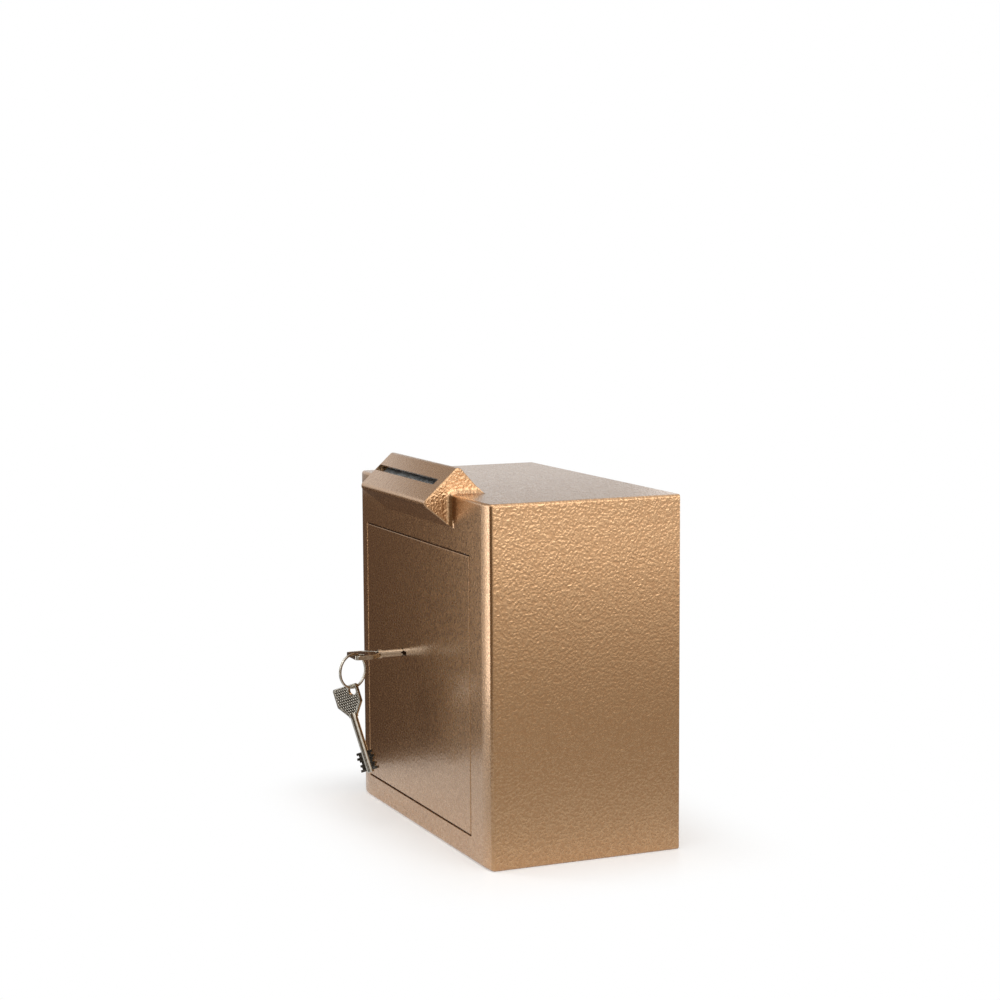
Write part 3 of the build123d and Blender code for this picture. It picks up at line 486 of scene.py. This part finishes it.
def makeCard(name, azimuth, distance, width, steps):
    # an upright panel whose colour blends from step to step with its height
    top = steps[-1][0]
    place, a = standing(azimuth, distance, 0, top), math.radians(azimuth)
    across = np.array([math.cos(a), math.sin(a), 0]) * width / 2
    up = np.array([0, 0, top / 2])
    corners = ((-1, -1), (1, -1), (1, 1), (-1, 1))
    mesh = bpy.data.meshes.new(name)
    mesh.from_pydata([(place + i * across + k * up).tolist() for i, k in corners], [], [(0, 1, 2, 3)])
    panel = bpy.data.objects.new(name, mesh)
    bpy.context.scene.collection.objects.link(panel)
    mat, tree = newMaterial(name)
    height = addNode(tree, "ShaderNodeSeparateXYZ", links={0: objectPlace(tree)})
    share = addNode(tree, "ShaderNodeMath", {"operation": "DIVIDE", 1: top}, {0: height.outputs["Z"]})
    colour = ramp(tree, share.outputs[0], [(level / top, code) for level, code in steps])
    glow = addNode(tree, "ShaderNodeEmission", links={"Color": colour})
    addNode(tree, "ShaderNodeOutputMaterial", links={"Surface": glow.outputs[0]})
    mesh.materials.append(mat)
    panel.visible_camera = panel.visible_diffuse = panel.visible_shadow = False


white = (1, 1, 1, 1)
worldSet = {"seen": 1.0, "light": 0.45}


def makeWorld():
    # white to the camera and to reflections, a softer grey as light
    world = bpy.data.worlds.new("studio")
    bpy.context.scene.world = world
    world.use_nodes = True
    tree = world.node_tree
    tree.nodes.clear()
    seen = seenDirectly(tree)
    bright = addNode(tree, "ShaderNodeBackground", {"Color": white, "Strength": worldSet["seen"]})
    fill = addNode(tree, "ShaderNodeBackground", {"Color": white, "Strength": worldSet["light"]})
    mix = addNode(tree, "ShaderNodeMixShader", links={0: seen, 1: fill.outputs[0], 2: bright.outputs[0]})
    addNode(tree, "ShaderNodeOutputWorld", links={"Surface": mix.outputs[0]})


def seenDirectly(tree):
    # 1 for the camera, for reflections and through glass
    path = addNode(tree, "ShaderNodeLightPath").outputs
    seen = addNode(tree, "ShaderNodeMath", {"operation": "MAXIMUM"},
                   {0: path["Is Camera Ray"], 1: path["Is Glossy Ray"]})
    through = addNode(tree, "ShaderNodeMath", {"operation": "MAXIMUM"},
                      {0: seen.outputs[0], 1: path["Is Transmission Ray"]})
    return through.outputs[0]


# Floor: half its width, its own light, the share of its brightness that reflections see, and the
# distances from the safe's foot between which it turns plain white
floorSet = {"half": 6.0, "albedo": "#ececeb", "lift": 0.29, "mirrored": 0.66, "gloss": 0.07,
            "glossRoughness": 0.22, "foot": (0.175, 0.1, 0.0), "nearM": 0.0, "farM": 0.13}


def makeFloor():
    # a white table top that keeps shadows near the safe and fades to white away from its foot
    half = floorSet["half"]
    corners = [(-half, -half, 0), (half, -half, 0), (half, half, 0), (-half, half, 0)]
    mesh = bpy.data.meshes.new("tableTop")
    mesh.from_pydata(corners, [], [(0, 1, 2, 3)])
    floor = bpy.data.objects.new("tableTop", mesh)
    bpy.context.scene.collection.objects.link(floor)
    mat, tree = newMaterial("whiteAcrylicTable")
    seen = seenDirectly(tree)
    size = addNode(tree, "ShaderNodeVectorMath", {"operation": "ABSOLUTE"}, {0: objectPlace(tree)})
    past = addNode(tree, "ShaderNodeVectorMath", {"operation": "SUBTRACT", 1: floorSet["foot"]},
                   {0: size.outputs[0]})
    out = addNode(tree, "ShaderNodeVectorMath", {"operation": "MAXIMUM", 1: (0, 0, 0)},
                  {0: past.outputs[0]})
    away = addNode(tree, "ShaderNodeVectorMath", {"operation": "LENGTH"}, {0: out.outputs[0]})
    far = addNode(tree, "ShaderNodeMapRange",
                  {"From Min": floorSet["nearM"], "From Max": floorSet["farM"],
                   "interpolation_type": "SMOOTHSTEP"}, {"Value": away.outputs["Value"]})
    direct = addNode(tree, "ShaderNodeLightPath").outputs["Is Camera Ray"]
    share = addNode(tree, "ShaderNodeMapRange", {"To Min": floorSet["mirrored"], "To Max": 1.0},
                    {"Value": direct})
    visible = addNode(tree, "ShaderNodeMath", {"operation": "MULTIPLY"},
                      {0: seen, 1: share.outputs["Result"]})
    lift = addNode(tree, "ShaderNodeMath", {"operation": "MULTIPLY", 1: floorSet["lift"]},
                   {0: visible.outputs[0]})
    matt = addNode(tree, "ShaderNodeBsdfDiffuse", {"Color": toLinear(floorSet["albedo"])})
    gloss = addNode(tree, "ShaderNodeBsdfGlossy",
                    {"Color": white, "Roughness": floorSet["glossRoughness"]})
    mix = addNode(tree, "ShaderNodeMixShader", {0: floorSet["gloss"]},
                  {1: matt.outputs[0], 2: gloss.outputs[0]})
    glow = addNode(tree, "ShaderNodeEmission", {"Color": white}, {"Strength": lift.outputs[0]})
    near = addNode(tree, "ShaderNodeAddShader", links={0: mix.outputs[0], 1: glow.outputs[0]})
    plain = addNode(tree, "ShaderNodeEmission", {"Color": white}, {"Strength": visible.outputs[0]})
    both = addNode(tree, "ShaderNodeMixShader",
                   links={0: far.outputs["Result"], 1: near.outputs[0], 2: plain.outputs[0]})
    addNode(tree, "ShaderNodeOutputMaterial", links={"Surface": both.outputs[0]})
    mesh.materials.append(mat)


makeCamera()
makeLights()
makeWorld()
makeFloor()
bpy.context.scene.view_settings.view_transform = "Standard"
print("camera, lights and floor set")
